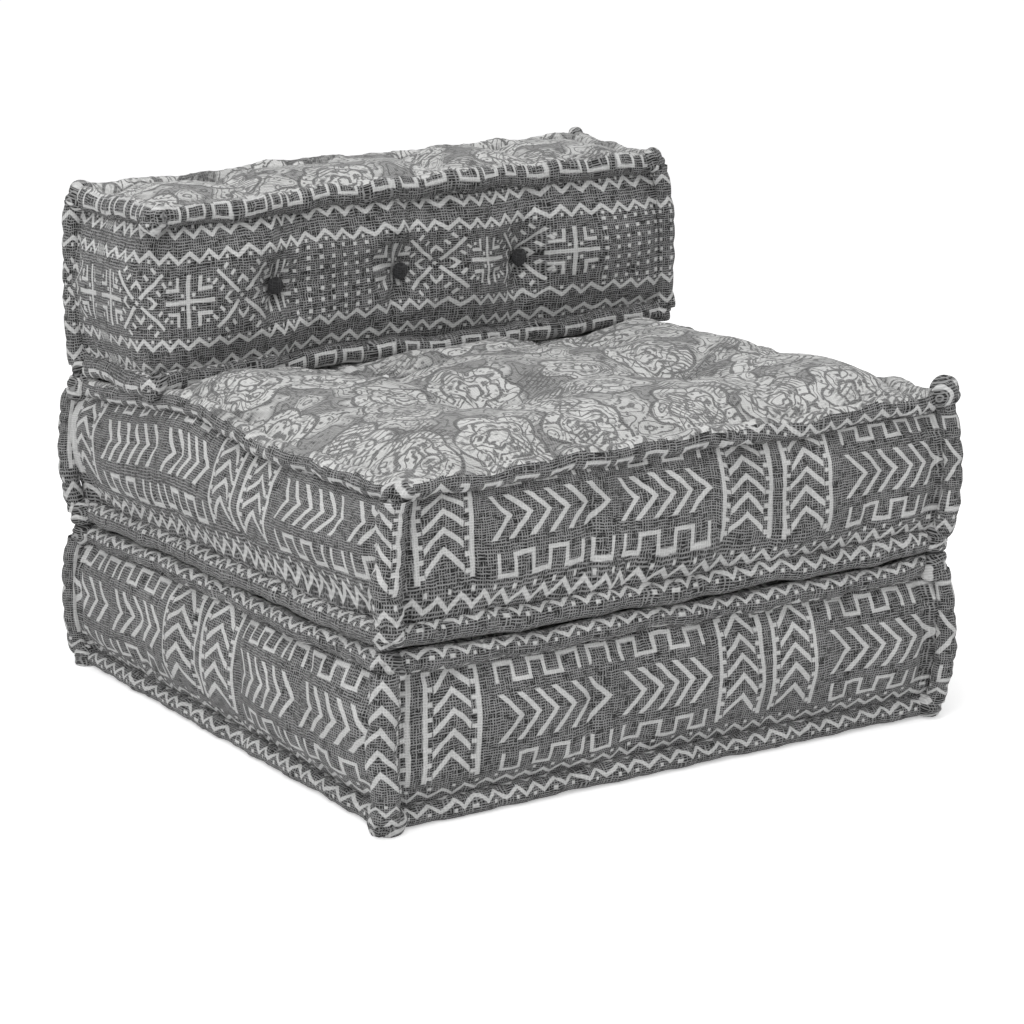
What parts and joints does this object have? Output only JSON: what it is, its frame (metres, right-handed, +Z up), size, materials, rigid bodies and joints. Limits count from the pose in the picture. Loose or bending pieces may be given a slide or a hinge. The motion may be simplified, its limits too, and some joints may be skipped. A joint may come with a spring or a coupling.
{
  "type": "modular sofa",
  "caption": "Low modular sofa of loose stacked box cushions with rolled edges: square base and tufted seat cushions, and a buttoned back cushion standing along the seat's rear.",
  "frame": {"origin": "centre of the base cushion's underside, on the floor", "axes": "+X along the width, +Y from the open front to the back cushion, +Z up"},
  "size_m": [0.7, 0.7, 0.5706],
  "materials": {
    "printed_cloth": "coarse matt cotton, dark grey with a pale geometric print",
    "damask_cloth": "coarse matt cotton with a pale damask print",
    "stuffing": "packed cotton fibre",
    "twine": "matt cotton twine",
    "button_cloth": "charcoal cloth over a domed shell"
  },
  "bodies": {
    "base_cushion": {"base_filling": "stuffing", "base_top_panel": "damask_cloth", "base_bottom_panel": "damask_cloth", "base_front_border": "printed_cloth", "base_right_border": "printed_cloth", "base_rear_border": "printed_cloth", "base_left_border": "printed_cloth", "base_top_rolled_edge": "printed_cloth", "base_bottom_rolled_edge": "printed_cloth", "base_corner_rolls": "printed_cloth", "base_tufting_twine": "twine"},
    "seat_cushion": {"seat_filling": "stuffing", "seat_top_panel": "damask_cloth", "seat_bottom_panel": "damask_cloth", "seat_front_border": "printed_cloth", "seat_right_border": "printed_cloth", "seat_rear_border": "printed_cloth", "seat_left_border": "printed_cloth", "seat_top_rolled_edge": "printed_cloth", "seat_bottom_rolled_edge": "printed_cloth", "seat_corner_rolls": "printed_cloth", "seat_tufting_twine": "twine"},
    "back_cushion": {"back_filling": "stuffing", "back_top_panel": "damask_cloth", "back_bottom_panel": "damask_cloth", "back_front_left_border": "printed_cloth", "back_rear_right_border": "printed_cloth", "back_top_rolled_edge": "printed_cloth", "back_bottom_rolled_edge": "printed_cloth", "back_corner_rolls": "printed_cloth", "back_front_buttons": "button_cloth", "back_rear_buttons": "button_cloth", "back_button_twine": "twine"}
  },
  "joints": [
    {"name": "seat_lift", "type": "slide", "parent": "base_cushion", "child": "seat_cushion", "axis": [0, 0, 1], "range_m": [0, 0.25]},
    {"name": "back_lift", "type": "slide", "parent": "seat_cushion", "child": "back_cushion", "axis": [0, 0, 1], "range_m": [0, 0.25]}
  ]
}
